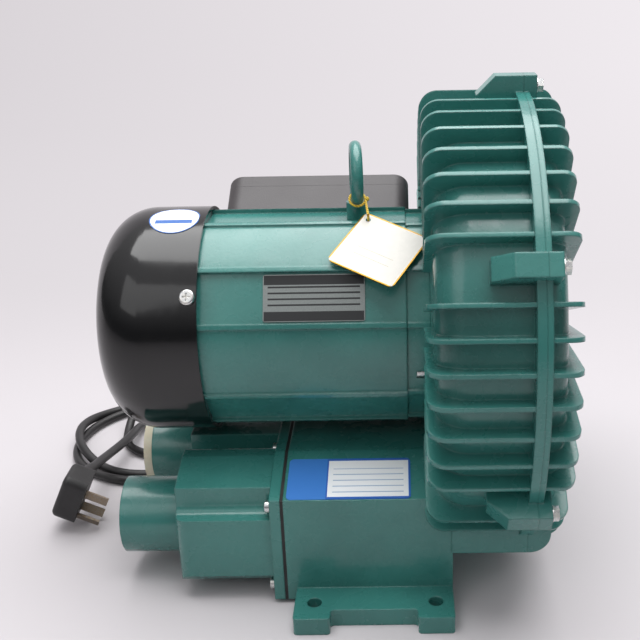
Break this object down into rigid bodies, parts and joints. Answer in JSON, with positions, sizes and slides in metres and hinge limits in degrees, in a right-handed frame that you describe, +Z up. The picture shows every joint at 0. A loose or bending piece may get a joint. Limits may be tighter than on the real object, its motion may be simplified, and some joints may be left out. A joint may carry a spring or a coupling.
{
  "type": "side channel blower",
  "caption": "Finned side channel blower with an electric motor, ducted foot base, silencer box with hose ports, lifting eye, terminal box and mains cord.",
  "frame": {"origin": "centre of the four foot holes, on the plane that the feet stand on", "axes": "+X along the shaft from the motor's fan to the blower's front cover, +Z up, +Y from the near side with the plate to the terminal box side"},
  "size_m": [0.3995, 0.3605, 0.3295],
  "materials": {
    "green_paint": "semi-gloss enamel on cast aluminium",
    "zinc": "bright zinc plated",
    "seal_rubber": "matte",
    "cast_aluminium": "as cast",
    "steel": "turned",
    "bearing_steel": "ground",
    "core_steel": "stacked sheets",
    "copper": "enamelled wire",
    "black_plastic": "moulded",
    "gloss_black_plastic": "glossy moulded",
    "label_white": "laminated sticker",
    "plate_aluminium": "brushed and printed",
    "tag_card": "coated card with gilt edge",
    "yellow_string": "elastic",
    "grey_plastic": "moulded, fine grain",
    "capacitor_can": "moulded",
    "gasket_rubber": "matte",
    "foam": "open cell",
    "pale_plastic": "moulded",
    "cord_rubber": "soft sheath",
    "brass": "plain"
  },
  "bodies": {
    "housing": {"casing_base": "green_paint", "front_cover": "green_paint", "casing_bolts": "zinc", "casing_washers": "zinc", "cover_plug": "zinc", "shaft_seal": "seal_rubber", "front_bearing_outer_race": "bearing_steel", "rear_bearing_outer_race": "bearing_steel", "wave_washer": "steel", "motor_housing": "green_paint", "front_shield": "green_paint", "front_shield_screws": "zinc", "neck_bolts": "zinc", "rear_shield": "cast_aluminium", "rear_shield_screws": "zinc", "stator_core": "core_steel", "stator_windings": "copper", "fan_cover": "gloss_black_plastic", "fan_cover_screws": "zinc", "fan_cover_sticker": "label_white", "eye_bolt": "green_paint", "nameplate": "plate_aluminium", "base_label": "label_white", "tag_string": "yellow_string", "terminal_box": "grey_plastic", "terminal_box_lid": "grey_plastic", "lid_screws": "zinc", "capacitor": "capacitor_can", "terminal_block": "black_plastic", "cable_gland": "black_plastic", "silencer_gasket": "gasket_rubber", "silencer_housing": "green_paint", "silencer_bolts": "zinc", "silencer_foam": "foam", "port_ring": "pale_plastic", "cord_lead": "cord_rubber", "cord_coil": "cord_rubber", "cord_tail": "cord_rubber", "plug_relief": "cord_rubber", "plug_body": "cord_rubber", "plug_pins": "brass"},
    "rotor": {"shaft": "steel", "rotor_core": "core_steel", "rotor_cage": "cast_aluminium", "impeller": "cast_aluminium", "impeller_key": "steel", "impeller_washer": "steel", "impeller_nut": "steel", "front_bearing_inner_race": "bearing_steel", "rear_bearing_inner_race": "bearing_steel", "cooling_fan": "black_plastic", "fan_clip": "steel"},
    "front_bearing_cage": {"front_bearing_balls": "bearing_steel"},
    "rear_bearing_cage": {"rear_bearing_balls": "bearing_steel"},
    "tag": {"hang_tag": "tag_card"}
  },
  "joints": [
    {"name": "rotor_spin", "type": "hinge", "parent": "housing", "child": "rotor", "pos_m": [0, 0, 0.1675], "axis": [1, 0, 0], "continuous": true},
    {"name": "front_cage_spin", "type": "hinge", "parent": "housing", "child": "front_bearing_cage", "pos_m": [0, 0, 0.1675], "axis": [1, 0, 0], "continuous": true},
    {"name": "rear_cage_spin", "type": "hinge", "parent": "housing", "child": "rear_bearing_cage", "pos_m": [0, 0, 0.1675], "axis": [1, 0, 0], "continuous": true},
    {"name": "tag_swing", "type": "hinge", "parent": "housing", "child": "tag", "pos_m": [-0.00084, -0.02307, 0.24159], "axis": [-1, 0, 0], "range_deg": [0, 35]}
  ],
  "couplings": [
    {"joint": "front_cage_spin", "follows": "rotor_spin", "ratio": 0.3974},
    {"joint": "rear_cage_spin", "follows": "rotor_spin", "ratio": 0.3821}
  ]
}
